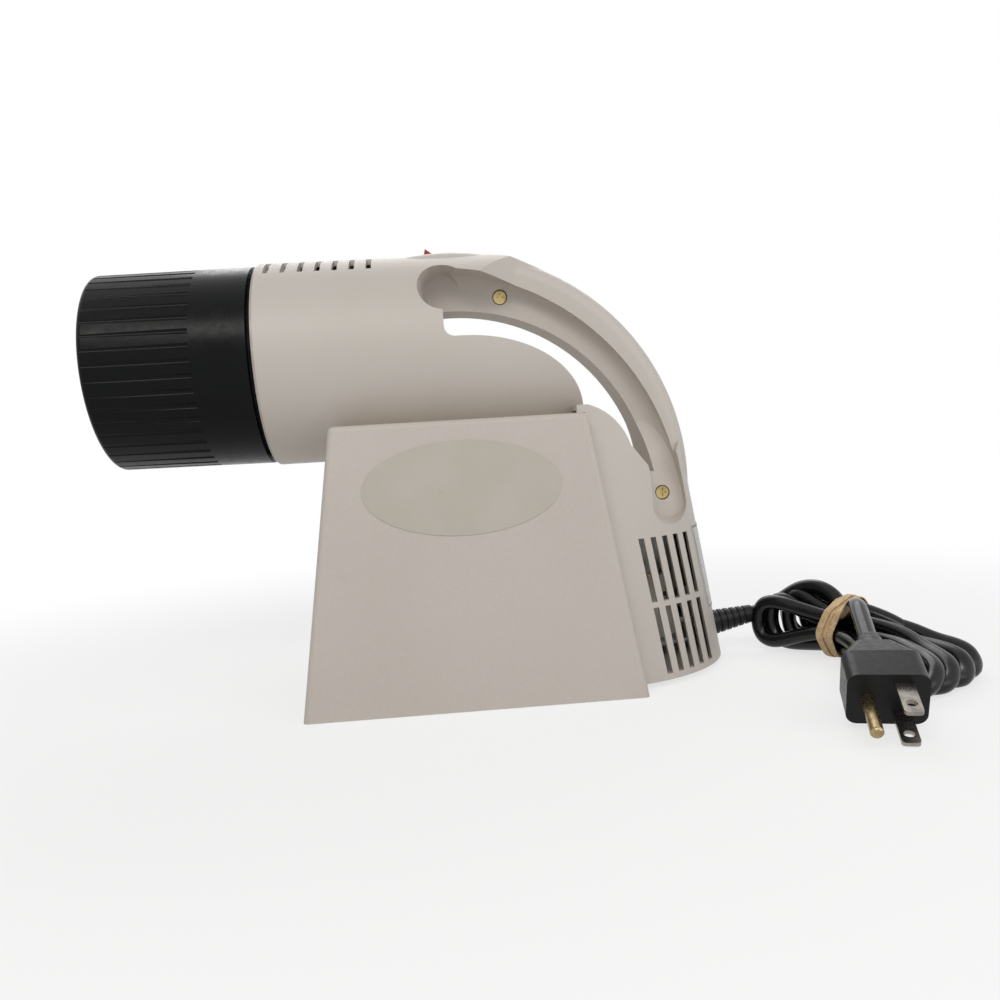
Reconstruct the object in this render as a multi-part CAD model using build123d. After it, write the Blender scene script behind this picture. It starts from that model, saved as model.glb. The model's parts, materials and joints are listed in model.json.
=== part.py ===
from build123d import *
import os
from math import atan, cos, degrees, pi, radians, sin, tan

# Opaque projector, millimetres.  The drawing frame has X = 0 at the middle of the copy hood,
# Y = 0 on the parting plane of the two body shells and Z = 0 on the table.  The lens looks
# along -X.  Every node is moved by the same SHIFT when it is written, so that the origin of
# the finished part is at the middle of its footprint.

# ---- walls and clearances ----
WALL = 2.4              # moulded wall of the shells and the hood
SEAM = 0.15             # gap between two mouldings that meet
FIT = 0.3               # gap round pieces that are dropped in, and round moving pieces
SLIP = 0.06             # radial gap of a pin in its hole
FAR = 300.0             # beyond everything, for shapes that only cut

# ---- copy hood ----
COPY = 127.0            # side of the picture that fits the opening
HOOD_BASE = COPY + 21.0
HOOD_REAR = HOOD_BASE / 2   # the rear wall's foot, which all behind the hood is placed from
HOOD_TOP = HOOD_BASE - 37.0
HOOD_H = 122.6
HOOD_EDGE = 2.6         # rounding of the hood's edges
WINDOW_Z = (44.0, 104.0)        # opening in the rear wall that the lamp shines through
WINDOW_HALF = HOOD_REAR - 38.0

# ---- badge inlays ----
BADGE_X = -0.5
BADGE_Z = 93.9
BADGE_A = 42.6
BADGE_B = 20.3
BADGE_T = 0.9
BADGE_SUNK = 0.6

# ---- copy glass and its frame ----
FRAME_Z0 = 0.8
FRAME_TOP = 6.4
GLASS_SUNK = 0.7        # the glass lies this far above the frame's underside
GLASS_T = 2.5
GLASS_LAP = 3.2         # how far the glass reaches under the frame
POST_SIDE = 16.0
POST_INSET = 9.0        # corner posts, from the hood's side to their middle
POST_H = 14.0
FRAME_SCREW = COPY / 2 + 2.9    # the screws' places along X and Y
PAD = 9.0
CLIP_LEAF = (4.2, 12.0, 0.5)
PIN_R = 0.72
PIN_IN = 0.6            # the clip's pin stands this far out from the glass pocket's edge

# ---- barrel and mirror housing ----
AXIS_Z = 153.9          # height of the optical axis
BARREL_R = 46.1
BARREL_FRONT = -84.8
BARREL_END = HOOD_REAR - 77.5       # where the full barrel stops, at the front end of the finger gap
CROWN_X = HOOD_REAR - 69.0       # the mirror housing's crown: level to here, then a quarter ellipse
CROWN_Z = 158.4
CROWN_RUN = 52.0
CROWN_DROP = 36.0
GAP_EDGE = 4.5          # rounding of the finger gap's front end, above the crown
THROAT_HALF = 29.0      # half width of the light opening between hood and barrel
THROAT_X = (-46.0, HOOD_REAR - 24.0)

# ---- handle: outer arc, grip arc and the groove between them ----
OUTER_C = (HOOD_REAR - 75.2, 88.2)
OUTER_R = 111.4
GRIP_C = (HOOD_REAR - 72.4, 81.8)
GRIP_R = 91.8
LIP_C = (HOOD_REAR - 85.3, 73.7)
LIP_R = 116.7
HANDLE_FOOT = 76.0      # the rim bar ends here, inside the lamp housing
RIM_HALF = 19.0         # half thickness of the handle's rim
RIM_EDGE = 7.0
WEB_HALF = 11.0         # half thickness of the web at the bottom of the groove
GROOVE_FLARE = 0.25     # how fast the groove's inner side opens outwards
GROOVE_COVE = 6.5
GROOVE_LEFT = (HOOD_REAR - 77.0, 181.8, 8.4)
GROOVE_LOW = (HOOD_REAR + 25.3, 79.9, 5.9)
WEB_SLOPE_Z = (66.0, 118.0)     # the web thickens between these heights
WEB_LOW_HALF = 26.0
BLEND_END = HOOD_REAR - 16.0       # where the barrel's flanks have run out into the handle
BLEND_HALF = RIM_HALF - RIM_EDGE - 0.4      # their half width there

# ---- rear lamp housing ----
HOUSING_X = HOOD_REAR - 25.5       # centre of its elliptical plan
HOUSING_A = 77.7
HOUSING_B = HOOD_REAR - 6.7
ROOF = ((8.5, 126.2), (19.7, 119.8), (27.5, 107.5), (37.5, 95.5), (46.5, 93.5), (63.5, 119.0))
PLATE_HALF = 28.0       # the rating plate reaches almost to the grilles
PLATE_Z = (27.5, 68.0)
ROOF_FRONT = 3.5        # the roof starts here, hidden in the mirror housing's crown
HOUSING_DRAFT = 0.16
HOUSING_Z0 = 2.6        # its lower edge stays off the table
HOUSING_Z1 = 132.0

# ---- vents ----
TOP_VENTS = 7
TOP_VENT_X = -80.2
TOP_VENT_PITCH = 7.55
TOP_VENT_W = 2.4
TOP_VENT_Y = (10.0, 26.5)
GRILLE_SLOTS = 5
GRILLE_X = HOOD_REAR + 8.2       # first slot's middle, at the bar between the two rows
GRILLE_PITCH = 6.1
GRILLE_W = 2.8
GRILLE_ROWS = ((5.2, 35.0), (37.4, 66.0))
GRILLE_BAR_Z = 36.2

# ---- lens ----
LENS_FRONT = -158.9
LENS_BACK = -88.0
FELT_T = 0.9
COLLAR_WALL = 1.3
FELT_SEAT = FELT_T + FIT + 0.1      # from the focus tube to the collar
TUBE_R = BARREL_R - WALL - 0.1 - COLLAR_WALL - FELT_SEAT
TUBE_WALL = 2.4
LENS_R = TUBE_R + 4.0
FLANGE_R = LENS_R + 0.2
LENS_TAPER = 0.7        # the sleeve is this much slimmer in radius at its front
FLUTES = 44
FLUTE_R = 1.5
FLUTE_DEPTH = 0.55
FLUTE_END = -111.0
TUBE_FRONT = -142.0
TUBE_BACK = -44.0
FOCUS_TRAVEL = 25.0
FLANGE_T = 1.1
COLLAR_BACK = -66.0
FELTS = 3

# ---- lens elements, from the front: element, spacer, element, ring ----
ELEMENT_EDGE = 3.0
ELEMENT_BULGE = 5.0
SPACER_LENGTH = 9.0
RING_LENGTH = 3.5
RING_T = 1.4

# ---- mirror, in its own frame: u up its length to the front ----
MIRROR_X = -7.4         # where the 45 degree mirror meets the optical axis
MIRROR_L = 88.0
MIRROR_HALF = 29.0
MIRROR_T = 2.5
RAIL_T = 2.2
CLIP_T = 0.8
CLIP_U = 26.0

# ---- lamp, in the frame of the hood's rear wall: u out of the wall, w up the wall ----
LAMP_U = 19.0
FLANGE_W = 8.0
SHEET = 1.4
BRACKET_HALF = 27.0
SOCKET_R = 16.5
SOCKET_TOP = 40.0
BASE_R = 13.1
BULB_R = 19.0
BULB_W = 60.0
REFLECTOR_R = 26.0
REFLECTOR_TOP = 68.0
REFLECTOR_NOTCH = (36.0, 10.5, 27.0)     # room for the cord's inner end: from u, half width, height
REFLECTOR_SPREAD = 32.0
REFLECTOR_T = 0.6

# ---- switch ----
SWITCH_X = (HOOD_REAR - 86.0, HOOD_REAR - 70.8)
SWITCH_HALF = 5.0
SWITCH_DEPTH = 15.0
SWITCH_TOP = OUTER_C[1] + OUTER_R - 0.4
ROCKER_HALF = 3.9
ROCKER_RISE = 3.6       # the raised end above the pivot
PIVOT_R = 1.2
PIVOT = (HOOD_REAR - 78.4, SWITCH_TOP - 3.0)
TERMINAL = (0.8, 3.2, 4.7)
TERMINAL_OFF = 3.6      # the two terminals, either side of the pivot

# ---- screws ----
SCREW_R = 1.7
HEAD_R = 3.0
HEAD_H = 2.2
SCREW_L = 14.0
BOSS_R = 4.6
BODY_SCREWS = ((HOOD_REAR - 49.9, 178.9), (HOOD_REAR + 21.6, 84.0))
HOOD_SCREWS = ((25.2 - HOOD_REAR, 18.0), (HOOD_REAR - 25.2, 18.0),
               (34.0 - HOOD_REAR, 86.0), (HOOD_REAR - 34.0, 86.0))
SCREW_POST = 11.0       # side of the square posts behind the hood
SCREW_RIB = 4.0         # thickness of the rib from each post to the wall
BRACKET_SCREWS = ((-22.0, 24.0), (22.0, 24.0))

# ---- strain relief, cord, plug ----
CORD_D = 7.2
CORD_Z = 14.5           # height where the cord's axis passes the lamp housing's wall
CORD_INSIDE = 8.0       # how far the cord reaches in from the wall
BOOT_LENGTH = 21.4
BOOT_R = (6.4, 4.4)
BOOT_NECK_R = 5.5
BOOT_FLANGE = (7.0, 1.8)
BOOT_RIBS = 5
# the cord's places: how far behind the wall that it leaves, across, and height
LEAD = [(29.6, 0, 19.2), (46.6, -9, 24.5), (58.1, -24, 24.5)]
TAIL_START = (50.1, -48, 22)
TAIL_RUN = 30.0         # the last run of the tail, straight into the plug
# the tied hank: middle, heading, width and lower and upper edge of each cross-section
HANK = [((30.1, 5), -55, 12, 7, 20), ((37.1, -3), -55, 34, 0.6, 34), ((45.1, -15), -58, 36, 0.6, 38),
        ((52.1, -28), -63.4, 29, 1.8, 28), ((58.6, -41), -63.4, 29, 1.8, 28),
        ((65.1, -64), -58, 48, 0.6, 21), ((68.1, -92), -50, 62, 0.6, 18),
        ((73.1, -106), -46, 60, 0.6, 16), ((76.1, -111), -45, 40, 2, 10)]
BAND_WIDTH = 10.0
BAND_T = 1.2
PLUG_AT = (32.8, -101.7, 24.6)     # where the cord enters the plug
PLUG_TO = (-0.29, -0.911, -0.292)   # the way its blades point
PLUG_RELIEF = 14.0
PLUG_FACE = 42.0        # from the cord's entry to the face
PLUG_W = 28.0
PLUG_H = 21.0
BLADE = (6.35, 1.5, 18.0)
BLADE_GAP = 12.7        # between the two blades' middles
GROUND_R = 2.38
GROUND_LENGTH = 21.4
GROUND_OFF = 11.9       # from the blades' middle to the ground pin

# ---- wires inside ----
WIRE_R = 1.1
WIRE_Y = 2.8            # the two switch leads run this far either side of the parting plane
WIRE_ARC_R = 106.5
WIRE_DROP = [(HOOD_REAR + 30, 17.5, 74), (HOOD_REAR + 30, 18.5, 44)]       # down beside the reflector
SPLICE_R = 2.6
SPLICE_LENGTH = 14.0

RISE = (HOOD_BASE - HOOD_TOP) / 2 / HOOD_H      # the hood's slope
TILT = degrees(atan(RISE))
DRAFT_TILT = degrees(atan(HOUSING_DRAFT))
X_REAR = HOUSING_X + HOUSING_A - HOUSING_DRAFT * HOUSING_Z0     # rearmost point of the housing
X_WALL = HOUSING_X + HOUSING_A - HOUSING_DRAFT * CORD_Z         # its wall where the cord passes
SHIFT = -(LENS_FRONT + X_REAR) / 2

NODES = {}


def keep(name, *solids):
    """Collect the solids of one node."""
    NODES.setdefault(name, []).extend(solids)


def box(x0, x1, y0, y1, z0, z1):
    return Pos((x0 + x1) / 2, (y0 + y1) / 2, (z0 + z1) / 2) * Box(x1 - x0, y1 - y0, z1 - z0)


def x_rod(r, x0, x1, y=0, z=AXIS_Z):
    return Pos((x0 + x1) / 2, y, z) * Rot(0, 90, 0) * Cylinder(r, x1 - x0)


def y_rod(r, y0, y1, x, z):
    return Pos(x, (y0 + y1) / 2, z) * Rot(90, 0, 0) * Cylinder(r, y1 - y0)


def side(sketch, half):
    """A side view drawn in XZ, thickened to both sides of the parting plane."""
    return extrude(Plane.XZ * sketch, amount=half, both=True)


def disc(centre, r):
    return Pos(*centre) * Circle(r)


def area(x0, x1, z0, z1):
    return Pos((x0 + x1) / 2, (z0 + z1) / 2) * Rectangle(x1 - x0, z1 - z0)


def half_space(sign, size=600):
    """Everything on one side of the parting plane: sign -1 is the near side."""
    return Pos(0, sign * size / 2, 0) * Box(2 * size, size, 2 * size)


def hood_half(z):
    """Half the hood's outer side at height z."""
    return HOOD_BASE / 2 - RISE * z


# The rear wall's frame: local x out of the wall, local y along Y, local z up the wall.
REAR = Plane(origin=(HOOD_BASE / 2, 0, 0),
             x_dir=(cos(radians(TILT)), 0, sin(radians(TILT))),
             z_dir=(-sin(radians(TILT)), 0, cos(radians(TILT))))

# The mirror's frame: local x up its length to the front, local z out of its silvered face.
MIRROR = Plane(origin=(MIRROR_X, 0, AXIS_Z), x_dir=(-1, 0, 1), z_dir=(-1, 0, -1))


# The cord's frame at the housing's wall: local z straight out of the wall.
OUTLET = Plane(origin=(X_WALL, 0, CORD_Z), x_dir=(0, 1, 0),
               z_dir=(cos(radians(DRAFT_TILT)), 0, sin(radians(DRAFT_TILT))))


def frustum(grow, z0, z1):
    """The hood's pyramid, grown or shrunk, between two heights."""
    low = 2 * (hood_half(z0) + grow)
    high = 2 * (hood_half(z1) + grow)
    return loft([Pos(0, 0, z0) * Rectangle(low, low), Pos(0, 0, z1) * Rectangle(high, high)])


# ---------------------------------------------------------------- body outline

def rear_profile(inset):
    """Side view of barrel and mirror housing; inset moves all but the open front inwards."""
    low = AXIS_Z - BARREL_R - 1
    high = AXIS_Z + BARREL_R + 1
    front = BARREL_FRONT - (10 if inset else 0)
    crown = Pos(CROWN_X, CROWN_Z - CROWN_DROP) * Ellipse(CROWN_RUN - inset, CROWN_DROP - inset)
    crown &= area(CROWN_X, CROWN_X + CROWN_RUN, CROWN_Z - CROWN_DROP, high)
    return (area(front, BARREL_END - inset, low, high)
            + area(BARREL_END - inset - 1, CROWN_X, low, CROWN_Z - inset)
            + area(CROWN_X - 1, CROWN_X + CROWN_RUN - inset, low, CROWN_Z - CROWN_DROP)
            + crown)


def barrel_solid(inset):
    return x_rod(BARREL_R - inset, BARREL_FRONT - 12, 80) & side(rear_profile(inset), 80)


def band(inset):
    """Side view of the handle, from inside the barrel round to the lamp housing."""
    ring = disc(OUTER_C, OUTER_R - inset) - disc(GRIP_C, GRIP_R + inset)
    return ring & area(BARREL_END - 14, FAR, HANDLE_FOOT, FAR)


def handle_solid():
    """The rim bar with rounded outer edges."""
    bar = side(band(0), RIM_HALF)
    rims = [e for e in bar.edges().filter_by(GeomType.CIRCLE) if abs(e.radius - OUTER_R) < 0.01]
    return fillet(rims, RIM_EDGE)


def root_solid():
    """The barrel's flanks running out into the handle."""
    start = BARREL_END - 20
    edge = Spline((start, BARREL_R), (BLEND_END, BLEND_HALF), tangents=[(1, 0), (1, 0)])
    outline = edge + Line((BLEND_END, BLEND_HALF), (BLEND_END, 0))
    outline += Line((BLEND_END, 0), (start, 0))
    outline += Line((start, 0), (start, BARREL_R))
    plan = make_face(outline)
    plan += mirror(plan, Plane.XZ)
    taper = extrude(Pos(0, 0, 100) * plan, amount=140)
    flank = x_rod(BARREL_R, BARREL_END - 1, BLEND_END)
    return flank & side(band(0) & area(BARREL_END - 1, BLEND_END, 150, FAR), 60) & taper


def housing_profile(inset):
    """Side view of the lamp housing's roof, closed below."""
    def place(point, down=1.0, forward=0.0):
        return (HOUSING_X + point[0] - inset * forward, point[1] - inset * down)

    start, crest, end = place(ROOF[0]), place(ROOF[1], 1, 0.4), place(ROOF[2], 0.7, 0.8)
    front, back = HOUSING_X + ROOF_FRONT, HOUSING_X + 91.5
    floor = HOUSING_Z0 + inset
    outline = Polyline(end, place(ROOF[3]), place(ROOF[4]), place(ROOF[5], 0), (back, ROOF[5][1]),
                       (back, floor), (front, floor), (front, start[1]), start)
    return make_face(ThreePointArc(start, crest, end) + outline)


def housing_solid(inset):
    def plan(z):
        shrink = HOUSING_DRAFT * z + inset
        return Pos(HOUSING_X, 0, z) * Ellipse(HOUSING_A - shrink, HOUSING_B - shrink)
    cone = loft([plan(0), plan(HOUSING_Z1)])
    trim = REAR * Pos(-100 + SEAM, 0, 0) * Box(200, 300, 2 * HOOD_H)
    trim += box(0, hood_half(HOOD_H) + SEAM, -100, 100, 0, HOOD_H + SEAM)
    return (cone & side(housing_profile(inset), 100)) - trim


def groove_tool(sign, grow):
    """The long groove in one side of the handle, with round ends and a cove at its rim."""
    floor = WEB_HALF - grow
    far = 60.0
    deep = far - floor
    mid = sign * (far + floor) / 2
    turn = Rot(-90 * sign, 0, 0)        # local +Z points away from the parting plane

    def post(centre, r, slope, lean=0.0):
        rings = []
        for depth in (0, deep):
            ring = Plane(origin=(centre[0] - lean * depth, sign * (floor + depth), centre[1]),
                         x_dir=(1, 0, 0), z_dir=(0, sign, 0))
            rings.append(ring * Circle(r + slope * depth))
        return loft(rings)

    wheel = Pos(LIP_C[0], mid, LIP_C[1]) * turn * Cylinder(LIP_R + grow, deep)
    bottom = wheel.edges().filter_by(GeomType.CIRCLE).sort_by(lambda e: abs(e.center().Y))[0]
    wheel = fillet(bottom, GROOVE_COVE)
    core = post(GRIP_C, GRIP_R - grow, -GROOVE_FLARE)
    half = GROOVE_FLARE / 2
    span = side(area(GROOVE_LEFT[0], FAR, GROOVE_LOW[1], FAR), 80)
    tool = (wheel - core) & span
    tool += post(GROOVE_LEFT[:2], GROOVE_LEFT[2] + grow, 0.1)
    tool += post(GROOVE_LOW[:2], GROOVE_LOW[2] + grow, half, half) & wheel
    low, high = WEB_SLOPE_Z
    web = Polyline((sign * floor, 260), (sign * floor, high), (sign * (WEB_LOW_HALF - grow), low),
                   (sign * (WEB_LOW_HALF - grow), 0), (sign * 90, 0), (sign * 90, 260),
                   (sign * floor, 260))
    return tool & extrude(Plane.YZ * make_face(web), amount=200, both=True)


def gap_corner():
    """The rounded corner between the barrel's end wall and the level crown, under the handle."""
    corner = area(BARREL_END - 1, BARREL_END + GAP_EDGE, CROWN_Z - 1, CROWN_Z + GAP_EDGE)
    corner -= disc((BARREL_END + GAP_EDGE, CROWN_Z + GAP_EDGE), GAP_EDGE)
    return side(corner, 60) & x_rod(BARREL_R, BARREL_END - 2, BARREL_END + 2 * GAP_EDGE)


def body_outer():
    return barrel_solid(0) + root_solid() + handle_solid() + housing_solid(0) + gap_corner()


def body_cavity():
    hollow = RIM_HALF - WALL - 2.5
    inner = barrel_solid(WALL) + side(band(WALL) & area(BARREL_END - 14, FAR, HANDLE_FOOT + 8, FAR), hollow)
    inner += housing_solid(WALL)
    for sign in (-1, 1):
        inner -= groove_tool(sign, WALL)
    return inner


def vents():
    """Top vents over the barrel and the grille in the lamp housing, both sides."""
    cuts = []
    for i in range(TOP_VENTS):
        x = TOP_VENT_X + i * TOP_VENT_PITCH
        for sign in (-1, 1):
            y0, y1 = sorted(sign * y for y in TOP_VENT_Y)
            cuts.append(box(x - TOP_VENT_W / 2, x + TOP_VENT_W / 2, y0, y1, AXIS_Z + 30, 210))
    for i in range(GRILLE_SLOTS):
        x = GRILLE_X + i * GRILLE_PITCH
        for z0, z1 in GRILLE_ROWS:
            lean = [(x + s * GRILLE_W / 2 - HOUSING_DRAFT * (z - GRILLE_BAR_Z), z)
                    for z, s in ((z0, -1), (z0, 1), (z1, 1), (z1, -1))]
            slot = side(make_face(Polyline(*lean, lean[0])), 90)
            cuts.append(slot - box(0, 200, -24, 24, 0, 80))
    return cuts


def web_depth(z):
    """Half thickness of the web at height z."""
    low, high = WEB_SLOPE_Z
    share = min(max((high - z) / (high - low), 0), 1)
    return WEB_HALF + share * (WEB_LOW_HALF - WEB_HALF)


def screw_posts():
    """Drilled posts: two for the body screws, four behind the hood's rear wall."""
    posts = []
    for x, z in BODY_SCREWS:
        posts.append(y_rod(BOSS_R, -WEB_LOW_HALF, WEB_LOW_HALF, x, z))
    for y, w in HOOD_SCREWS:
        outward = SCREW_POST if y > 0 else -SCREW_POST
        post = Box(SCREW_POST, SCREW_POST, SCREW_POST)
        post += Pos(0, outward, 0) * Box(SCREW_POST, 2 * SCREW_POST, SCREW_RIB)
        post = (REAR * Pos(SCREW_POST / 2 + SEAM, y, w) * post) & housing_solid(WALL / 2)
        posts.append(post - REAR * Pos(5, y, w) * Rot(0, 90, 0) * Cylinder(SCREW_R, SCREW_POST))
    return posts


def mirror_rails():
    """Ledges on the barrel's flanks, drilled for the clip screws."""
    rails = []
    depth = MIRROR_T + 0.1
    for sign in (-1, 1):
        y0, y1 = sorted((sign * (MIRROR_HALF - 3), sign * 60))
        rail = MIRROR * Pos(-2, (y0 + y1) / 2, -depth - RAIL_T / 2) * Box(MIRROR_L - 6, y1 - y0, RAIL_T)
        for u, y in clip_places():
            rail -= MIRROR * Pos(u, y, -depth) * Cylinder(1.2, 8)
        rails.append(rail & barrel_solid(0))
    return rails


def shells():
    outer = body_outer()
    shell = outer - body_cavity()
    for post in screw_posts():
        shell += post & outer
    for rail in mirror_rails():
        shell += rail
    for sign in (-1, 1):
        shell -= groove_tool(sign, 0)
    shell -= box(THROAT_X[0], THROAT_X[1], -THROAT_HALF, THROAT_HALF, 90, AXIS_Z - 26)
    for cut in vents():
        shell -= cut
    shell -= box(SWITCH_X[0] - SEAM, SWITCH_X[1] + SEAM, -SWITCH_HALF - SEAM, SWITCH_HALF + SEAM,
                 SWITCH_TOP - SWITCH_DEPTH, FAR)
    shell -= OUTLET * Cylinder(BOOT_NECK_R + SEAM, 20)
    for x, z in BODY_SCREWS:
        depth = web_depth(z)
        shell -= y_rod(HEAD_R + 0.5, -80, -depth + HEAD_H + 0.6, x, z)
        shell -= y_rod(SCREW_R + 0.1, -depth, -depth + SCREW_L + 3.5, x, z)
    for sign, name in ((-1, "shell_near"), (1, "shell_far")):
        keep(name, *(shell & half_space(sign)).solids())


# ---------------------------------------------------------------- hood and copy glass

def hood():
    outer = frustum(0, 0, HOOD_H)
    edges = [e for e in outer.edges() if e.center().Z > 1]
    outer = fillet(edges, HOOD_EDGE)
    shape = outer - frustum(-WALL, -0.01, HOOD_H - WALL)
    # corner posts that the glass frame is screwed to
    for sx in (-1, 1):
        for sy in (-1, 1):
            at = HOOD_BASE / 2 - POST_INSET
            post = Pos(sx * at, sy * at, FRAME_TOP + POST_H / 2) * Box(POST_SIDE, POST_SIDE, POST_H - FIT)
            shape += post & outer
            shape -= Pos(sx * FRAME_SCREW, sy * FRAME_SCREW, FRAME_TOP + 5) * Cylinder(SCREW_R, POST_H)
    shape -= x_rod(BARREL_R + SEAM, BARREL_FRONT, CROWN_X + CROWN_RUN + SEAM)
    shape -= REAR * Pos(0, 0, sum(WINDOW_Z) / 2) * Box(16, 2 * WINDOW_HALF, WINDOW_Z[1] - WINDOW_Z[0])
    for y, w in HOOD_SCREWS:
        shape -= REAR * Pos(0, y, w) * Rot(0, 90, 0) * Cylinder(SCREW_R + 0.1, 16)
    for y, w in BRACKET_SCREWS:
        shape -= REAR * Pos(0, y, w) * Rot(0, 90, 0) * Cylinder(SCREW_R, 16)
    for sign in (-1, 1):
        shape -= badge_disc(sign, 1.0, 1.0 - BADGE_SUNK)
    keep("copy_hood", *shape.solids())


def badge_disc(sign, thick, stand):
    """An oval disc on a side panel, standing proud by stand."""
    t = radians(TILT)
    face = Plane(origin=(BADGE_X, sign * hood_half(BADGE_Z), BADGE_Z), x_dir=(-sign, 0, 0),
                 z_dir=(0, sign * cos(t), sin(t)))
    return face * Pos(0, 0, stand - thick / 2) * extrude(Ellipse(BADGE_A, BADGE_B),
                                                         amount=thick / 2, both=True)


def badges():
    for sign, name in ((-1, "badge_near"), (1, "badge_far")):
        plate = badge_disc(sign, BADGE_T, BADGE_T - BADGE_SUNK)
        keep(name, plate)


def copy_frame():
    """The frame in the hood's mouth, the glass under it and the clips that hold the glass."""
    side_length = 2 * (hood_half(FRAME_TOP) - WALL - FIT)
    mid = (FRAME_Z0 + FRAME_TOP) / 2
    depth = FRAME_TOP - FRAME_Z0
    pocket = COPY + 2 * GLASS_LAP
    glass_z = FRAME_Z0 + GLASS_SUNK
    corners = [Pos(sx * FRAME_SCREW, sy * FRAME_SCREW) for sx in (-1, 1) for sy in (-1, 1)]
    plate = Pos(0, 0, mid) * Box(side_length, side_length, depth)
    ring = plate - Box(COPY, COPY, 40) - Box(pocket, pocket, 2 * (glass_z + GLASS_T + 0.1))
    for place in corners:
        ring += (place * Pos(0, 0, mid) * Box(PAD, PAD, depth)) & plate
    glass = Pos(0, 0, glass_z + GLASS_T / 2) * Box(pocket - 2 * FIT, pocket - 2 * FIT, GLASS_T)
    for place in corners:
        ring -= place * Cylinder(SCREW_R + 0.1, 40)
        ring -= place * Pos(0, 0, FRAME_Z0 + 0.6) * Cone(HEAD_R + 0.4, SCREW_R, 2.4)
        glass -= place * Box(PAD + 2 * FIT, PAD + 2 * FIT, 20)
        cone = Pos(0, 0, FRAME_Z0 + 1.0) * Cone(HEAD_R - 0.1, SCREW_R - 0.1, 1.8)
        shank = Pos(0, 0, FRAME_Z0 + 6.4) * Cylinder(SCREW_R - 0.1, 9)
        keep("frame_screws", place * (cone + shank))
    edge = pocket / 2
    for turn in range(4):
        spin = Rot(0, 0, 90 * turn)
        hole = Pos(edge + PIN_IN, 0, 2.2) * Cylinder(PIN_R + 0.08, 3.8)
        ring -= spin * hole
        leaf = Pos(edge - 0.3, 0, glass_z - 0.4) * Box(*CLIP_LEAF)
        long, wide, thick = CLIP_LEAF
        ring -= spin * Pos(edge - 0.3, 0, 0) * Box(long + FIT, wide + FIT, 2 * glass_z)
        keep("glass_clips", spin * (leaf - hole))
        keep("clip_pins", spin * Pos(edge + PIN_IN, 0, 2.2) * Cylinder(PIN_R, 3.4))
    keep("copy_frame", *ring.solids())
    keep("copy_glass", *glass.solids())


# ---------------------------------------------------------------- mirror

def clip_places():
    return [(sign_u * CLIP_U - 2, sign * (MIRROR_HALF + 3.2)) for sign_u in (-1, 1) for sign in (-1, 1)]


def mirror_parts():
    plate = MIRROR * Pos(0, 0, -MIRROR_T / 2) * Box(MIRROR_L, 2 * MIRROR_HALF, MIRROR_T)
    keep("mirror", plate)
    for u, y in clip_places():
        inward = -1 if y > 0 else 1
        leaf = Pos(u, y + inward * 2.2, CLIP_T / 2 + 0.05) * Box(8, 10, CLIP_T)
        foot = Pos(u, y - inward, (CLIP_T - MIRROR_T) / 2) * Box(8, 3.6, MIRROR_T + CLIP_T - 0.1)
        hole = Pos(u, y, -2) * Cylinder(1.3, 12)
        keep("mirror_clips", MIRROR * ((leaf + foot) - hole))
        head = Pos(u, y, CLIP_T + 0.85) * Cylinder(2.2, 1.5)
        shank = Pos(u, y, (CLIP_T + 0.1) - 2.8) * Cylinder(1.15, 5.6)
        keep("mirror_screws", MIRROR * (head + shank))


# ---------------------------------------------------------------- lens

def turned(points):
    """A ring turned about the optical axis from (x, r) corners."""
    outline = make_face(Polyline(*[(x, r) for x, r in points], points[0]))
    return Pos(0, 0, AXIS_Z) * revolve(Plane.XZ * outline, Axis.X)


def lens_sleeve():
    """The black sleeve that is pulled to focus: a turned ring with shallow flutes."""
    bore = TUBE_R + 0.08
    sleeve = turned([(LENS_FRONT, LENS_R - LENS_TAPER), (LENS_BACK, LENS_R), (LENS_BACK, bore),
                     (TUBE_FRONT - 0.1, bore), (TUBE_FRONT - 0.1, TUBE_R - TUBE_WALL - 2.4),
                     (TUBE_FRONT - 3.6, TUBE_R - TUBE_WALL - 2.4),
                     (LENS_FRONT, TUBE_R + 0.6)])
    nose = [e for e in sleeve.edges().filter_by(GeomType.CIRCLE)
            if abs(e.center().X - LENS_FRONT) < 0.01 and e.radius > TUBE_R + 2]
    sleeve = fillet(nose, 2.6)
    ring = Circle(LENS_R + 6)
    for i in range(FLUTES):
        a = 2 * pi * i / FLUTES
        reach = LENS_R - FLUTE_DEPTH + FLUTE_R - 0.35
        ring -= Pos((reach + 3) * cos(a), (reach + 3) * sin(a)) * Rot(0, 0, degrees(a)) \
            * Rectangle(6, 3 * FLUTE_R)
        ring -= Pos(reach * cos(a), reach * sin(a)) * Circle(FLUTE_R)
    comb = Circle(LENS_R + 5) - ring
    flutes = Pos(LENS_FRONT - 1, 0, AXIS_Z) * Rot(0, 90, 0) * extrude(comb, amount=FLUTE_END - LENS_FRONT)
    keep("lens_barrel", *(sleeve - flutes).solids())


def inner_tube():
    keep("focus_tube", turned([(TUBE_FRONT, TUBE_R), (TUBE_BACK, TUBE_R),
                               (TUBE_BACK, TUBE_R - TUBE_WALL), (TUBE_FRONT, TUBE_R - TUBE_WALL)]))


def element(front, bulge_front, bulge_back):
    """A glass lens: a disc whose two faces bulge."""
    r = TUBE_R - TUBE_WALL - 0.15
    back = front + ELEMENT_EDGE
    outline = ThreePointArc((front, -r), (front - bulge_front, 0), (front, r))
    outline += Line((front, r), (back, r))
    outline += ThreePointArc((back, r), (back + bulge_back, 0), (back, -r))
    outline += Line((back, -r), (front, -r))
    half = make_face(outline) & (Pos((front + back) / 2, r) * Rectangle(60, 2 * r))
    return Pos(0, 0, AXIS_Z) * revolve(Plane.XZ * half, Axis.X)


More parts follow.
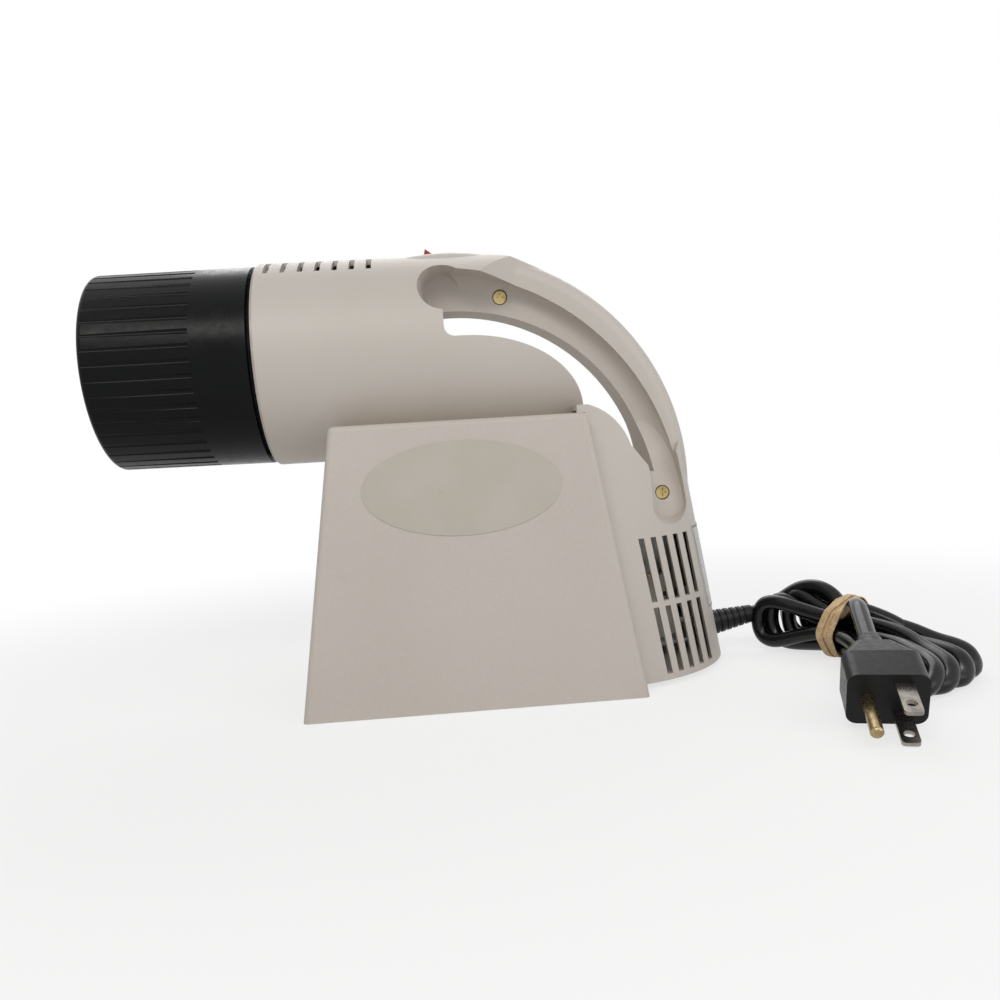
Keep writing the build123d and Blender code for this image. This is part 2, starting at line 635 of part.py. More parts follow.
def lens_stack():
    """Two glasses, the spacer between them and the ring behind, each just clear of the next."""
    r = TUBE_R - TUBE_WALL - 0.15

    def clear(bulge):
        return bulge * (1 - ((r - RING_T) / r) ** 2) + 0.05

    def ring(start, length):
        return turned([(start, r), (start + length, r), (start + length, r - RING_T), (start, r - RING_T)])

    x = TUBE_FRONT + 0.2
    keep("front_lens", element(x, ELEMENT_BULGE * 0.4, ELEMENT_BULGE * 0.5))
    x += ELEMENT_EDGE + clear(ELEMENT_BULGE * 0.5)
    keep("lens_spacer", ring(x, SPACER_LENGTH))
    x += SPACER_LENGTH + clear(ELEMENT_BULGE * 0.5)
    keep("rear_lens", element(x, ELEMENT_BULGE * 0.5, ELEMENT_BULGE))
    x += ELEMENT_EDGE + clear(ELEMENT_BULGE)
    keep("lens_ring", ring(x, RING_LENGTH))


def mouth():
    """The collar in the barrel's mouth and the felts that the focus tube drags on."""
    inner = TUBE_R + FELT_SEAT
    outer = inner + COLLAR_WALL
    front = BARREL_FRONT - FLANGE_T
    keep("mouth_collar", turned([(front, FLANGE_R), (BARREL_FRONT - 0.05, FLANGE_R),
                                 (BARREL_FRONT - 0.05, outer), (COLLAR_BACK, outer),
                                 (COLLAR_BACK, inner), (front, inner)]))
    strip = turned([(front + 1, inner - 0.02), (COLLAR_BACK, inner - 0.02),
                    (COLLAR_BACK, TUBE_R + FIT), (front + 1, TUBE_R + FIT)])
    wedge = box(front, COLLAR_BACK + 1, -14, 14, AXIS_Z + 30, AXIS_Z + 60)
    for i in range(FELTS):
        turn = Pos(0, 0, AXIS_Z) * Rot(360 / FELTS * i, 0, 0) * Pos(0, 0, -AXIS_Z)
        keep("felt_strips", strip & (turn * wedge))


# ---------------------------------------------------------------- lamp

def lamp():
    top = FLANGE_W + SHEET
    axis = REAR * Pos(LAMP_U, 0, 0)
    socket = Pos(0, 0, (top + SOCKET_TOP) / 2) * Cylinder(SOCKET_R, SOCKET_TOP - top)
    socket -= Pos(0, 0, (top + 4 + SOCKET_TOP + 1) / 2) * Cylinder(BASE_R + FIT, SOCKET_TOP - top - 3)
    keep("lamp_socket", axis * socket)
    contact = Pos(0, 0, top + 4.0 + 0.5) * Cylinder(4, 0.9)
    keep("socket_contact", axis * contact)
    base_low = top + 5.2
    base = Pos(0, 0, (base_low + SOCKET_TOP + 1) / 2) * Cylinder(BASE_R, SOCKET_TOP + 1 - base_low)
    keep("lamp_base", axis * base)
    low = SOCKET_TOP + 1.05
    neck = 12.0
    outline = Line((0, low), (neck, low))
    joint = (BULB_R * cos(radians(38)), BULB_W - BULB_R * sin(radians(38)))
    outline += Spline((neck, low), joint, tangents=[(0, 1), (sin(radians(38)), cos(radians(38)))])
    outline += ThreePointArc(joint, (BULB_R * cos(radians(30)), BULB_W + BULB_R * sin(radians(30))),
                             (0, BULB_W + BULB_R))
    outline += Line((0, BULB_W + BULB_R), (0, low))
    bulb = revolve(Plane.XZ * make_face(outline), Axis.Z)
    keep("lamp_bulb", axis * bulb)


def lamp_bracket():
    """A bent sheet on the hood's rear wall; its shelf carries the socket and the reflector."""
    reach = LAMP_U + REFLECTOR_R + 2
    leg = Pos(SEAM + SHEET / 2, 0, (FLANGE_W + 34) / 2) * Box(SHEET, 2 * BRACKET_HALF, 34 - FLANGE_W)
    shelf = Pos(SEAM + reach / 2, 0, FLANGE_W + SHEET / 2) * Box(reach, 2 * BRACKET_HALF, SHEET)
    shelf &= Pos(LAMP_U - 3, 0, FLANGE_W) * Cylinder(REFLECTOR_R + 5.5, 40) + Pos(0, 0, 20) * Box(30, 80, 60)
    notch_u, notch_half, notch_top = REFLECTOR_NOTCH
    notch = Pos(notch_u + 30, 0, notch_top / 2) * Box(60, 2 * notch_half, notch_top)
    bracket = leg + shelf - notch - Pos(22, 22.5, FLANGE_W) * Cylinder(SCREW_R + 0.1, 8)
    for y, w in BRACKET_SCREWS:
        bracket -= Pos(0, y, w) * Rot(0, 90, 0) * Cylinder(SCREW_R + 0.1, 20)
        head = Pos(SEAM + SHEET + 1.0, y, w) * Rot(0, 90, 0) * Cylinder(HEAD_R, 1.9)
        shank = Pos(SEAM + SHEET + 0.1 - 3.6, y, w) * Rot(0, 90, 0) * Cylinder(SCREW_R - 0.1, 7.2)
        keep("bracket_screws", REAR * (head + shank))
    keep("socket_bracket", REAR * bracket)
    low = FLANGE_W + SHEET + 0.05
    ring = Circle(REFLECTOR_R + REFLECTOR_T) - Circle(REFLECTOR_R)
    half = REFLECTOR_R * tan(radians(REFLECTOR_SPREAD))
    wedge = make_face(Polyline((0, 0), (60, 60 * half / REFLECTOR_R), (60, -60 * half / REFLECTOR_R), (0, 0)))
    sheet = extrude(Pos(LAMP_U, 0, low) * (ring & wedge), amount=REFLECTOR_TOP - low) - notch
    keep("reflector", *(REAR * sheet).solids())
    for y, w in HOOD_SCREWS:
        head = Pos(-WALL - 1.1, y, w) * Rot(0, 90, 0) * Cylinder(HEAD_R, 2.0)
        shank = Pos(-WALL + 4.9, y, w) * Rot(0, 90, 0) * Cylinder(SCREW_R - 0.1, 10)
        keep("hood_screws", REAR * (head + shank))


def body_screws():
    for x, z in BODY_SCREWS:
        seat = -web_depth(z) + HEAD_H + 0.6
        head = y_rod(HEAD_R, seat - HEAD_H, seat - 0.05, x, z)
        slot = box(x - 0.4, x + 0.4, seat - HEAD_H - 1, seat - HEAD_H + 0.8, z - 1.9, z + 1.9)
        cross = box(x - 1.9, x + 1.9, seat - HEAD_H - 1, seat - HEAD_H + 0.8, z - 0.4, z + 0.4)
        shank = y_rod(SCREW_R - 0.1, seat - 0.06, seat + SCREW_L - 3, x, z)
        keep("body_screws", head + shank - slot - cross)


# ---------------------------------------------------------------- switch

def switch():
    x0, x1 = SWITCH_X
    low = SWITCH_TOP - SWITCH_DEPTH
    body = box(x0, x1, -SWITCH_HALF, SWITCH_HALF, low, SWITCH_TOP)
    body -= box(x0 + 0.7, x1 - 0.7, -ROCKER_HALF - FIT, ROCKER_HALF + FIT, low + 6.5, FAR)
    body -= y_rod(PIVOT_R + SLIP, -SWITCH_HALF + 0.3, SWITCH_HALF - 0.3, *PIVOT)
    keep("switch_body", body)
    reach = (x1 - x0) / 2 - 0.7 - FIT
    top = ROCKER_RISE
    nose = 0.8
    outline = make_face(Polyline(
        (-reach + nose, top - nose), (-reach + 2.2 * nose, top + 3.8), (0, 4.0),
        (reach - 1.2, 1.0), (reach - 0.6, -0.6), (2.6, -4.6), (-2.6, -4.6),
        (-reach + 0.4, -0.6), (-reach + nose, top - nose)))
    key = side(outline, ROCKER_HALF)
    pin = Rot(90, 0, 0) * Cylinder(PIVOT_R, 2 * (SWITCH_HALF - 0.4))
    keep("switch_rocker", Pos(PIVOT[0], 0, PIVOT[1]) * (key + pin))
    wide, deep, tall = TERMINAL
    for x in (PIVOT[0] - TERMINAL_OFF, PIVOT[0] + TERMINAL_OFF):
        keep("switch_terminals", box(x - wide / 2, x + wide / 2, -deep / 2, deep / 2,
                                     low - tall, low - 0.05))


# ---------------------------------------------------------------- cord

def bend_radii(points):
    """Each corner's radius: 0.45 of its shorter run over the tangent of half its turn."""
    radii = []
    for a, b, c in zip(points, points[1:], points[2:]):
        before = Vector(*b) - Vector(*a)
        after = Vector(*c) - Vector(*b)
        turn = radians(before.get_angle(after))
        radii.append(0.45 * min(before.length, after.length) / tan(turn / 2))
    return radii


def tube(path, r):
    """A round bar along a path."""
    return sweep(Plane(origin=path @ 0, z_dir=path % 0) * Circle(r), path=path)


def cord_tube(name, points):
    radii = bend_radii(points)
    path = FilletPolyline(*points, radius=radii)
    keep(name, tube(path, CORD_D / 2))


def strain_relief():
    """The ribbed, tapered boot, clamped in the wall by a collar and an inner flange."""
    slope = (BOOT_R[0] - BOOT_R[1]) / BOOT_LENGTH
    boot = Pos(0, 0, BOOT_LENGTH / 2 + 0.2) * Cone(BOOT_R[0], BOOT_R[1], BOOT_LENGTH - 0.4)
    pitch = (BOOT_LENGTH - 5) / BOOT_RIBS
    for i in range(BOOT_RIBS):
        z = 3.6 + i * pitch
        r = BOOT_R[0] - slope * z
        boot -= Pos(0, 0, z) * (Cylinder(r + 2, 1.5) - Cylinder(r - 0.9, 1.5))
    boot += Pos(0, 0, -1.4) * Cylinder(BOOT_NECK_R, 4.0)
    flange_r, flange_t = BOOT_FLANGE
    boot += Pos(0, 0, -WALL - 0.7 - flange_t / 2) * Cylinder(flange_r, flange_t)
    boot -= Cylinder(CORD_D / 2 + 0.03, 60)
    keep("strain_relief", OUTLET * boot)


def behind(point):
    """A cord place as a point of the design."""
    return (X_WALL + point[0], *point[1:])


def section_plane(centre, heading, z):
    """An upright plane across the hank at a point of its axis."""
    a = radians(heading)
    return Plane(origin=(*behind(centre), z), x_dir=(-sin(a), cos(a), 0), z_dir=(cos(a), sin(a), 0))


def hank():
    """The tied bundle's outer shape, and the rubber band round its waist."""
    faces = []
    for centre, heading, width, low, high in HANK:
        plane = section_plane(centre, heading, (low + high) / 2)
        faces.append(plane * Ellipse(width / 2, (high - low) / 2))
    keep("cord_hank", loft(faces, ruled=True))
    (x0, y0), heading, width, low, high = HANK[3]
    x1, y1 = HANK[4][0]
    mid = section_plane(((x0 + x1) / 2, (y0 + y1) / 2), heading, (low + high) / 2)
    a, b = width / 2 + 0.1, (high - low) / 2 + 0.1
    ring = Ellipse(a + BAND_T, b + BAND_T) - Ellipse(a, b)
    keep("cord_band", extrude(mid * ring, amount=BAND_WIDTH / 2, both=True))


def cord():
    inner_end = (OUTLET * Pos(0, 0, -CORD_INSIDE)).position
    cord_tube("cord_lead", [tuple(inner_end), *[behind(p) for p in LEAD]])
    entry = behind(PLUG_AT)
    before = Vector(*entry) - Vector(*PLUG_TO).normalized() * TAIL_RUN
    cord_tube("cord_tail", [behind(TAIL_START), tuple(before), entry])


def plug():
    """Moulded three-pin plug: a relief, a body, two flat blades and a round ground pin."""
    to = Vector(*PLUG_TO).normalized()
    frame = Plane(origin=behind(PLUG_AT), x_dir=(-to.Y, to.X, 0), z_dir=tuple(to))
    relief = Pos(0, 0, PLUG_RELIEF / 2) * Cone(CORD_D / 2 + 0.8, 7, PLUG_RELIEF)
    waist = PLUG_FACE - 17
    back = loft([Pos(0, 0, PLUG_RELIEF - 3) * RectangleRounded(17, 14, 4),
                 Pos(0, 0, waist) * RectangleRounded(PLUG_W, PLUG_H, 4)])
    front = extrude(Pos(0, 0, waist) * RectangleRounded(PLUG_W, PLUG_H, 4), amount=PLUG_FACE - waist)
    keep("plug_body", frame * (relief + back + front))
    wide, thick, length = BLADE
    blade_x = GROUND_OFF / 2 - 0.8
    for sign in (-1, 1):
        blade = Pos(blade_x, sign * BLADE_GAP / 2, PLUG_FACE + 0.02 + length / 2) * Box(wide, thick, length)
        tips = blade.edges().filter_by(Axis.Y).group_by(Axis.Z)[-1]
        blade = fillet(tips, 1.6)
        hole = Pos(blade_x, sign * BLADE_GAP / 2, PLUG_FACE + 12.7) * Rot(90, 0, 0) * Cylinder(1.9, 6)
        keep("plug_blades", frame * (blade - hole))
    pin_mid = PLUG_FACE + 0.02 + GROUND_LENGTH / 2
    pin = Pos(blade_x - GROUND_OFF, 0, pin_mid) * Cylinder(GROUND_R, GROUND_LENGTH)
    pin = fillet(pin.edges().group_by(Axis.Z)[-1], 1.6)
    keep("plug_ground_pin", frame * pin)


# ---------------------------------------------------------------- wires

def wire_path(points):
    radii = [min(r, 6.0) for r in bend_radii(points)]
    return FilletPolyline(*points, radius=radii)


def switch_lead(y, start_x, rest):
    """A lead from a switch terminal, round the handle's back and down to rest."""
    cx, cz = OUTER_C
    z = SWITCH_TOP - SWITCH_DEPTH - 2.6
    a = radians(15)
    high = (cx + WIRE_ARC_R * sin(a), y, cz + WIRE_ARC_R * cos(a))
    before = (high[0] - 14 * cos(a), y, high[2] + 14 * sin(a))
    low = (cx + WIRE_ARC_R, y, cz)
    mid_a = radians(52.5)
    middle = (cx + WIRE_ARC_R * sin(mid_a), y, cz + WIRE_ARC_R * cos(mid_a))
    path = FilletPolyline((start_x, y, z), (PIVOT[0] + 9.9, y, z), before, high, radius=[4, 4])
    path += ThreePointArc(high, middle, low)
    path += wire_path([low, (low[0], y, low[2] - 6), *rest])
    return tube(path, WIRE_R)


def socket_end(angle, z):
    """A point on the lamp socket's side, and one further out on the same radius."""
    axis = (REAR * Pos(LAMP_U, 0, z)).position
    a = radians(angle)
    points = []
    for r in (SOCKET_R + 9, SOCKET_R + 0.5):
        points.append((axis.X + r * cos(a), r * sin(a), z))
    return points


def wires():
    inner = (OUTLET * Pos(0, 0, -CORD_INSIDE - 0.95)).position
    x, z = inner.X, inner.Z
    drop, splice_top = WIRE_DROP
    keep("wire_live", switch_lead(WIRE_Y, PIVOT[0] - 5, [drop, splice_top]))
    switched = [(drop[0], -drop[1], drop[2]), (drop[0], -splice_top[1], 46), *socket_end(-60, 34)]
    keep("wire_switched", switch_lead(-WIRE_Y, PIVOT[0] + 2.4, switched))
    splice_x, splice_y, splice_z = splice_top
    low = splice_z - SPLICE_LENGTH
    keep("wire_splice", Pos(splice_x, splice_y, (low + splice_z) / 2 - 0.05)
         * Cylinder(SPLICE_R, SPLICE_LENGTH - 0.1))
    supply = [(x, 1.6, z + 0.8), (x - 3.4, 4.2, z + 3), (HOOD_REAR + 36, 11.5, 21.5),
              (splice_x, splice_y, 24.5), (splice_x, splice_y, low - 0.1)]
    keep("wire_supply", tube(wire_path(supply), WIRE_R))
    out, end = socket_end(-50, 21)
    neutral = [(x, -1.6, z + 0.8), (x - 3.4, -4.2, z + 3), (HOOD_REAR + 36, -11.5, 20), out, end]
    keep("wire_neutral", tube(wire_path(neutral), WIRE_R))
    tag = REAR * Pos(22, 22.5, FLANGE_W + SHEET + 0.05)
    plate_hole = Cylinder(SCREW_R + 0.1, 6)
    leaf = Pos(0, 0, 0.4) * Box(8, 7, 0.8) - plate_hole
    ferrule = Pos(6.5, 0, 1.5) * Rot(0, 90, 0) * Cylinder(1.5, 6)
    keep("ground_tag", tag * (leaf + ferrule))
    head = Pos(0, 0, 0.85 + 0.9) * Cylinder(HEAD_R, 1.8)
    shank = Pos(0, 0, -1.2) * Cylinder(SCREW_R, 4.1)
    keep("ground_screw", tag * (head + shank))
    ferrule_end = (tag * Pos(10.1, 0, 1.5)).position
    ground = [(x, 0, z - 1.6), (x - 2.4, 3, z - 0.6), (HOOD_REAR + 38, 9, 16),
              (HOOD_REAR + 35.5, 13.5, 18.2), (HOOD_REAR + 33, 21.5, 16.4), tuple(ferrule_end)]
    keep("wire_ground", tube(wire_path(ground), WIRE_R))


# ---------------------------------------------------------------- write

def plate():
    """Bare rating plate, bent to the lamp housing's rear."""
    outer = housing_solid(-0.35)
    inner = housing_solid(-0.02)
    frame = box(X_REAR - 40, X_REAR + 5, -PLATE_HALF, PLATE_HALF, *PLATE_Z)
    keep("rating_plate", *((outer - inner) & frame).solids())


def build():
    shells()
    hood()
    badges()
    copy_frame()
    mirror_parts()
    lens_sleeve()
    inner_tube()
    lens_stack()
    mouth()
    lamp()
    lamp_bracket()
    body_screws()
    switch()
    plate()
    strain_relief()
    cord()
    hank()
    plug()
    wires()


def write():
    os.makedirs("parts", exist_ok=True)
    for name, solids in NODES.items():
        node = Compound(children=[Pos(SHIFT, 0, 0) * s for s in solids]) if len(solids) > 1 \
            else Pos(SHIFT, 0, 0) * solids[0]
        export_step(node, f"parts/{name}.step")


if __name__ == "__main__":
    build()
    write()
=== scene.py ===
import json
from math import cos, pi, radians, sin

import bpy
import bmesh
from mathutils import Matrix, Vector

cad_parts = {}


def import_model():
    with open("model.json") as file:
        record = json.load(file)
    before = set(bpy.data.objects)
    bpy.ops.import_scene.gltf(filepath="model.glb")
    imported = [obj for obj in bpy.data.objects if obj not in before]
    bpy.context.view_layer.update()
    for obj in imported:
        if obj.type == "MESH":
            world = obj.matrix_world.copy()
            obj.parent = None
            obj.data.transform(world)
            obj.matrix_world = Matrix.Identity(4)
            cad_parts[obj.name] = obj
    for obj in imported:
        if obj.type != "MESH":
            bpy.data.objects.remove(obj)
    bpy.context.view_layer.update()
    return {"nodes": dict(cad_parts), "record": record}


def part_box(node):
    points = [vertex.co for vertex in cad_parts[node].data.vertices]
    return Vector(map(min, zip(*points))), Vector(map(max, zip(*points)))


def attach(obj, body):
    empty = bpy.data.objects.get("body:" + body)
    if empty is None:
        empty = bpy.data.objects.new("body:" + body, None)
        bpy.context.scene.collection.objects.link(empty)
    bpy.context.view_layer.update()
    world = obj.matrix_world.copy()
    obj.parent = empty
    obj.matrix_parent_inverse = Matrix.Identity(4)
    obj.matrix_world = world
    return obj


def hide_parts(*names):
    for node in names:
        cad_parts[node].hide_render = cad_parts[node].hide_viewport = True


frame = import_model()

MM = 0.001
SHIFT = 16.558          # the design's X=0 lies this far along the row frame's X, in mm
nodes = frame["nodes"]


def at(x, y, z):
    """A point of the design, in mm, as metres in the row frame."""
    return Vector(((x + SHIFT) * MM, y * MM, z * MM))


def lerp(a, b, t):
    return a + (b - a) * t


# ---------------------------------------------------------------- camera

YAW, PITCH, ROLL = radians(-3.74), radians(-8.24), radians(3.44)
EYE = at(-11.41, -437.41, 110.81)
LENS, SENSOR = 31.90, 36
SHIFT_UP = 0.0736


def camera():
    turn = Matrix.Rotation(YAW, 3, "Z")
    turn = turn @ Matrix.Rotation(PITCH, 3, "X") @ Matrix.Rotation(ROLL, 3, "Y")
    right, ahead, up = turn.col[0], turn.col[1], turn.col[2]
    data = bpy.data.cameras.new("camera")
    data.sensor_width = SENSOR
    data.lens = LENS
    data.shift_y = SHIFT_UP
    data.clip_start, data.clip_end = 0.01, 30
    eye = bpy.data.objects.new("camera", data)
    eye.matrix_world = Matrix.Translation(EYE) @ Matrix((right, up, -ahead)).transposed().to_4x4()
    bpy.context.collection.objects.link(eye)
    bpy.context.scene.camera = eye


camera()

# ---------------------------------------------------------------- materials


def linear(red, green, blue):
    """An everyday 0 to 255 colour as Blender's linear one."""
    out = []
    for c in (red, green, blue):
        c /= 255
        out.append(c / 12.92 if c <= 0.04045 else ((c + 0.055) / 1.055) ** 2.4)
    return (*out, 1.0)


class Coat:
    """A material and short names for the nodes that it is built from."""

    def __init__(self, name, **values):
        self.material = bpy.data.materials.new(name)
        self.material.use_nodes = True
        self.tree = self.material.node_tree
        self.tree.nodes.clear()
        self.shader = self.add("BsdfPrincipled")
        out = self.add("OutputMaterial")
        self.tree.links.new(self.shader.outputs[0], out.inputs["Surface"])
        self.here = self.add("TexCoord").outputs["Object"]
        for key, value in values.items():
            self.shader.inputs[key.replace("_", " ")].default_value = value

    def add(self, kind, **inputs):
        node = self.tree.nodes.new("ShaderNode" + kind)
        for key, value in inputs.items():
            self.put(value, node.inputs[key])
        return node

    def put(self, value, socket):
        if isinstance(value, bpy.types.NodeSocket):
            self.tree.links.new(value, socket)
        else:
            socket.default_value = value

    def to(self, **sockets):
        for key, value in sockets.items():
            self.put(value, self.shader.inputs[key.replace("_", " ")])
        return self

    def stretch(self, x, y, z):
        node = self.add("Mapping", Vector=self.here)
        node.inputs["Scale"].default_value = (x, y, z)
        return node.outputs[0]

    def noise(self, size, detail=3.0, rough=0.55, where=None, warp=0.0):
        """Noise whose lumps are about size millimetres across."""
        node = self.add("TexNoise", Vector=where or self.here, Scale=1000 / size, Detail=detail,
                        Roughness=rough, Distortion=warp)
        return node.outputs[0]

    def math(self, kind, a, b=0.0, clamp=False):
        node = self.tree.nodes.new("ShaderNodeMath")
        node.operation = kind
        node.use_clamp = clamp
        self.put(a, node.inputs[0])
        self.put(b, node.inputs[1])
        return node.outputs[0]

    def step(self, value, low, high, to_low=0.0, to_high=1.0):
        """value from low..high as to_low..to_high, smooth and clamped."""
        node = self.tree.nodes.new("ShaderNodeMapRange")
        node.interpolation_type = "SMOOTHSTEP"
        names = ("Value", "From Min", "From Max", "To Min", "To Max")
        for key, number in zip(names, (value, low, high, to_low, to_high)):
            self.put(number, node.inputs[key])
        return node.outputs[0]

    def mix(self, amount, a, b):
        node = self.tree.nodes.new("ShaderNodeMix")
        node.data_type = "RGBA"
        self.put(amount, node.inputs[0])
        self.put(a, node.inputs[6])
        self.put(b, node.inputs[7])
        return node.outputs[2]

    def bump(self, height, depth, under=None):
        """Relief of depth millimetres."""
        node = self.add("Bump", Height=height, Distance=depth * MM)
        node.inputs["Strength"].default_value = 1.0
        if under is not None:
            self.put(under, node.inputs["Normal"])
        return node.outputs[0]

    def xyz(self):
        node = self.add("SeparateXYZ", Vector=self.here)
        return node.outputs


def grained(name, base, dark, pale, grain, depth, rough, speck=0.0):
    """Moulded plastic with a spark-eroded grain: fine relief, and a slow drift of tone."""
    c = Coat(name, IOR=1.46)
    fine = c.noise(grain, 4, 0.62)
    slow = c.noise(60, 1, 0.5)
    tone = c.mix(c.step(slow, 0.25, 0.75, 0.72, 1.0), linear(*dark), linear(*base))
    tone = c.mix(c.step(fine, 0.48, 0.75, 0, 0.3 + speck), tone, linear(*pale))
    pits = c.step(c.noise(grain * 1.6, 2, 0.5), 0.3, 0.42, 0.14 + speck, 0)
    tone = c.mix(pits, tone, linear(*dark))
    c.to(Base_Color=tone, Roughness=c.step(fine, 0.3, 0.7, rough - 0.06, rough + 0.07))
    c.to(Normal=c.bump(fine, depth))
    return c


def smooth(name, base, other, rough, spot=6.0, depth=0.01, **values):
    """Smooth moulded or painted stock with a little unevenness."""
    c = Coat(name, **values)
    blot = c.noise(spot, 3)
    c.to(Base_Color=c.mix(c.step(blot, 0.35, 0.7), linear(*base), linear(*other)))
    c.to(Roughness=c.step(c.noise(spot * 0.4, 4, 0.6), 0.3, 0.75, rough * 0.8, rough * 1.25))
    c.to(Normal=c.bump(c.noise(0.9, 2), depth))
    return c


def metal(name, base, other, rough, along=None, depth=0.004):
    """Plated or brushed metal; along stretches the brush lines."""
    c = Coat(name, Metallic=1.0)
    where = c.stretch(*along) if along else None
    lines = c.noise(0.35, 4, 0.6, where)
    c.to(Base_Color=c.mix(c.step(c.noise(5, 3), 0.35, 0.7), linear(*base), linear(*other)))
    c.to(Roughness=c.step(lines, 0.3, 0.7, rough * 0.75, rough * 1.3))
    c.to(Normal=c.bump(lines, depth))
    return c


WARM = (201, 194, 186)
WARM_LOW = (189, 181, 172)
WARM_PALE = (214, 209, 203)

coats = {}
coats["body_shell"] = grained("body_plastic", WARM, WARM_LOW, WARM_PALE, 0.45, 0.035, 0.46)
coats["hood_panel"] = grained("hood_plastic", (199, 191, 183), (186, 178, 169), (213, 207, 200), 0.8, 0.06,
                              0.5, 0.1)
coats["badge"] = smooth("badge_film", (186, 179, 168), (191, 184, 174), 0.34, 30, 0.004, Coat_Weight=0.2,
                        Coat_Roughness=0.25)
# Black base frame plate; its thin edge under the hood is also painted shade, dark to stand in for the shadow
# gap along the hood's bottom.
coats["frame_black"] = grained("frame_plastic_and_painted_shadow_gap", (30, 30, 31), (22, 22, 23), (44, 44, 46), 0.5, 0.03, 0.5)
coats["zinc"] = metal("zinc_spring", (176, 178, 180), (150, 152, 156), 0.32)
coats["lens_black"] = smooth("barrel_plastic", (4, 5, 6), (6, 7, 8), 0.27, 9, 0.004, Specular_IOR_Level=0.13)
coats["tube_black"] = smooth("tube_plastic", (12, 12, 13), (17, 17, 18), 0.6, 5, 0.02,
                             Specular_IOR_Level=0.25)
coats["collar"] = smooth("collar_plastic", (176, 169, 160), (188, 181, 173), 0.4, 7, 0.01)
coats["ceramic"] = smooth("glazed_ceramic", (232, 228, 218), (222, 216, 203), 0.16, 10, 0.008,
                          Coat_Weight=0.5, Coat_Roughness=0.06)
coats["brass"] = metal("brass", (205, 170, 98), (186, 148, 80), 0.25)
coats["zinc_sheet"] = metal("zinc_sheet", (168, 171, 174), (146, 150, 155), 0.38)
# Painted shade: the reflector is a mid grey, well below bare aluminium, standing in for the shade inside the
# lamp housing seen through the grille.
coats["reflector"] = metal("reflector_sheet_painted_shade", (120, 120, 121), (104, 104, 106), 0.4, (1, 1, 0.08))
coats["screw_brass"] = metal("screw_plating", (190, 172, 122), (160, 140, 92), 0.3)
coats["switch_black"] = smooth("switch_plastic", (24, 24, 25), (32, 32, 33), 0.36)
coats["rocker_red"] = smooth("rocker_plastic", (150, 16, 30), (168, 26, 38), 0.26, 8, 0.006, Coat_Weight=0.25,
                             Coat_Roughness=0.12)
coats["label"] = smooth("label_film", (176, 174, 170), (182, 180, 177), 0.33, 14, 0.004)
coats["boot_black"] = smooth("boot_rubber", (12, 13, 14), (17, 18, 19), 0.42, 4, 0.008,
                             Specular_IOR_Level=0.28)
coats["cord_black"] = smooth("cord_jacket", (8, 9, 10), (12, 13, 14), 0.22, 7, 0.005, Specular_IOR_Level=0.3)
coats["plug_black"] = smooth("plug_rubber", (10, 11, 12), (14, 15, 16), 0.38, 5, 0.008,
                             Specular_IOR_Level=0.25)
coats["blade_steel"] = metal("plated_blade", (168, 164, 156), (128, 122, 114), 0.28, (1, 1, 0.15))
coats["pin_brass"] = metal("brass_pin", (188, 168, 130), (148, 128, 92), 0.27, (1, 0.1, 1))
coats["wire_dark"] = smooth("wire_black", (20, 20, 21), (30, 30, 31), 0.4)
coats["wire_white"] = smooth("wire_white", (222, 220, 214), (210, 207, 199), 0.4)
coats["wire_green"] = smooth("wire_green", (30, 98, 52), (24, 84, 44), 0.4)
coats["splice"] = smooth("splice_nylon", (200, 198, 190), (186, 183, 174), 0.4)


def felt():
    c = Coat("felt", Sheen_Weight=0.5, Sheen_Roughness=0.5)
    hair = c.noise(0.5, 6, 0.7, warp=1.5)
    c.to(Base_Color=c.mix(c.step(hair, 0.35, 0.65), linear(26, 26, 28), linear(58, 58, 62)))
    c.to(Roughness=c.step(hair, 0.3, 0.7, 0.85, 1.0), Normal=c.bump(hair, 0.25))
    return c


def glass(name, tint, rough, smear=0.05):
    c = Coat(name, Transmission_Weight=1.0, IOR=1.52, Base_Color=linear(*tint))
    smudge = c.noise(22, 4, 0.6, warp=0.8)
    c.to(Roughness=c.step(smudge, 0.5, 0.75, rough, rough + smear))
    return c


def bulb():
    c = Coat("frosted_bulb", Transmission_Weight=0.35, IOR=1.45)
    frost = c.noise(0.6, 3)
    c.to(Base_Color=c.mix(c.step(frost, 0.4, 0.7), linear(238, 236, 230), linear(226, 224, 218)))
    c.to(Roughness=c.step(frost, 0.3, 0.7, 0.4, 0.55), Normal=c.bump(frost, 0.01))
    return c


def mirror_coat():
    c = Coat("front_silvering", Metallic=1.0, Base_Color=(0.93, 0.94, 0.95, 1))
    dust = c.noise(3, 5, 0.7)
    c.to(Roughness=c.step(dust, 0.55, 0.8, 0.015, 0.12))
    return c


def elastic():
    c = Coat("rubber_band", Subsurface_Weight=0.12, Subsurface_Scale=0.002)
    c.shader.inputs["Subsurface Radius"].default_value = (1.0, 0.6, 0.35)
    mottle = c.noise(2.2, 5, 0.62, warp=0.6)
    tone = c.mix(c.step(mottle, 0.3, 0.7), linear(191, 158, 116), linear(221, 194, 153))
    c.to(Base_Color=tone, Roughness=c.step(mottle, 0.3, 0.7, 0.5, 0.68))
    c.to(Normal=c.bump(c.noise(0.6, 4), 0.05))
    return c


def border(coat, name, line, inset):
    """A fine dark line round a plate, at inset mm from the edges of its box."""
    low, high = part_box(name)
    x, y, z = coat.xyz()
    edges = [coat.math("SUBTRACT", y, low[1]), coat.math("SUBTRACT", high[1], y),
             coat.math("SUBTRACT", z, low[2]), coat.math("SUBTRACT", high[2], z)]
    near = edges[0]
    for other in edges[1:]:
        near = coat.math("MINIMUM", near, other)
    off = coat.math("ABSOLUTE", coat.math("SUBTRACT", near, inset * MM))
    amount = coat.step(off, 0.35 * MM, 0.5 * MM, 1, 0)
    film = coat.shader.inputs["Base Color"].links[0].from_socket
    coat.to(Base_Color=coat.mix(amount, film, linear(*line)))


